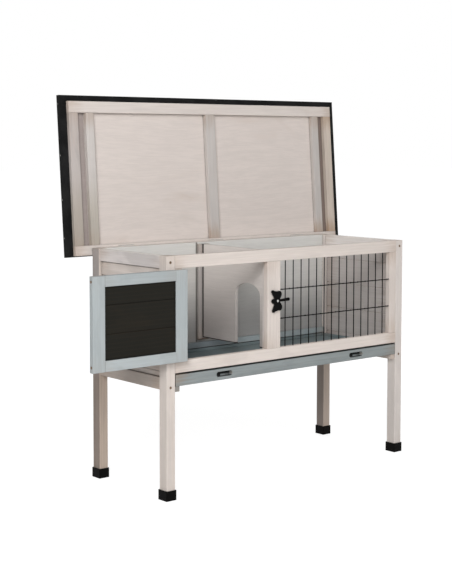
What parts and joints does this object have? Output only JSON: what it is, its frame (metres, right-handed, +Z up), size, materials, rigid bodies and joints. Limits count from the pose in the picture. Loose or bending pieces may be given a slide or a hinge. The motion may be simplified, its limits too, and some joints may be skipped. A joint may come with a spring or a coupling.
{
  "type": "wooden guinea pig hutch",
  "caption": "Raised wooden small-animal hutch on legs with a hinged felted lid, framed front door, wire front, divider with an arched doorway, turn button and pull-out tray.",
  "frame": {"origin": "centre of the sole of the front left foot, on the floor", "axes": "+X to the right along the front, +Y to the back, +Z up"},
  "size_m": [1.144, 0.3984, 1.0032],
  "materials": {
    "cream_wood": "matt cream wash over planed fir, grain showing",
    "pale_plywood": "matt pale wash over thin plywood",
    "grey_blue_wood": "matt grey-blue wash over planed fir",
    "dark_boards": "matt charcoal wash over planed fir",
    "roofing_felt": "matt mineral roofing felt",
    "black_plastic": "fine matt black",
    "black_wire": "satin black coating",
    "hinge_steel": "dulled zinc plate"
  },
  "bodies": {
    "body": {"front_left_post": "cream_wood", "front_right_post": "cream_wood", "rear_left_post": "cream_wood", "rear_right_post": "cream_wood", "front_left_foot": "black_plastic", "front_right_foot": "black_plastic", "rear_left_foot": "black_plastic", "rear_right_foot": "black_plastic", "front_top_rail": "cream_wood", "front_sill": "cream_wood", "left_stile": "cream_wood", "middle_stile": "cream_wood", "right_stile": "cream_wood", "wire_front": "black_wire", "left_top_rail": "cream_wood", "right_top_rail": "cream_wood", "left_sill": "cream_wood", "right_sill": "cream_wood", "left_tray_runner": "cream_wood", "right_tray_runner": "cream_wood", "left_wall_boards": "cream_wood", "right_wall_boards": "cream_wood", "back_top_rail": "cream_wood", "back_sill": "cream_wood", "back_panel": "pale_plywood", "divider": "pale_plywood", "divider_cleats": "cream_wood", "back_kick_strip": "grey_blue_wood", "post_screws": "hinge_steel", "door_hinge_frame_leaves": "hinge_steel", "lid_hinge_body_leaves": "hinge_steel", "frame_hinge_screws": "hinge_steel", "hinge_pins": "hinge_steel", "turn_button_screw": "hinge_steel"},
    "tray": {"tray_front": "grey_blue_wood", "tray_left_side": "grey_blue_wood", "tray_right_side": "grey_blue_wood", "tray_back": "grey_blue_wood", "tray_inner_front": "grey_blue_wood", "tray_floor": "grey_blue_wood"},
    "door": {"door_hinge_stile": "grey_blue_wood", "door_latch_stile": "grey_blue_wood", "door_top_rail": "grey_blue_wood", "door_bottom_rail": "grey_blue_wood", "door_boards": "dark_boards", "door_screws": "hinge_steel", "door_hinge_door_leaves": "hinge_steel", "door_hinge_screws": "hinge_steel"},
    "lid": {"lid_deck": "pale_plywood", "lid_felt": "roofing_felt", "lid_front_rail": "cream_wood", "lid_back_rail": "cream_wood", "lid_left_stile": "cream_wood", "lid_right_stile": "cream_wood", "lid_left_batten": "cream_wood", "lid_right_batten": "cream_wood", "lid_middle_batten": "cream_wood", "lid_hinge_lid_leaves": "hinge_steel", "lid_hinge_screws": "hinge_steel"},
    "turn_button": {"turn_button": "black_plastic"}
  },
  "joints": [
    {"name": "lid_hinge", "type": "hinge", "parent": "body", "child": "lid", "pos_m": [0.407, 0.3068, 0.6053], "axis": [1, 0, 0], "range_deg": [0, 94.5]},
    {"name": "door_hinge", "type": "hinge", "parent": "body", "child": "door", "pos_m": [0.0355, -0.0192, 0.459], "axis": [0, 0, 1], "range_deg": [0, 180]},
    {"name": "tray_slide", "type": "slide", "parent": "body", "child": "tray", "axis": [0, -1, 0], "range_m": [0, 0.26]},
    {"name": "turn_button_pivot", "type": "hinge", "parent": "body", "child": "turn_button", "pos_m": [0.3465, -0.015, 0.469], "axis": [0, 1, 0], "continuous": true}
  ]
}
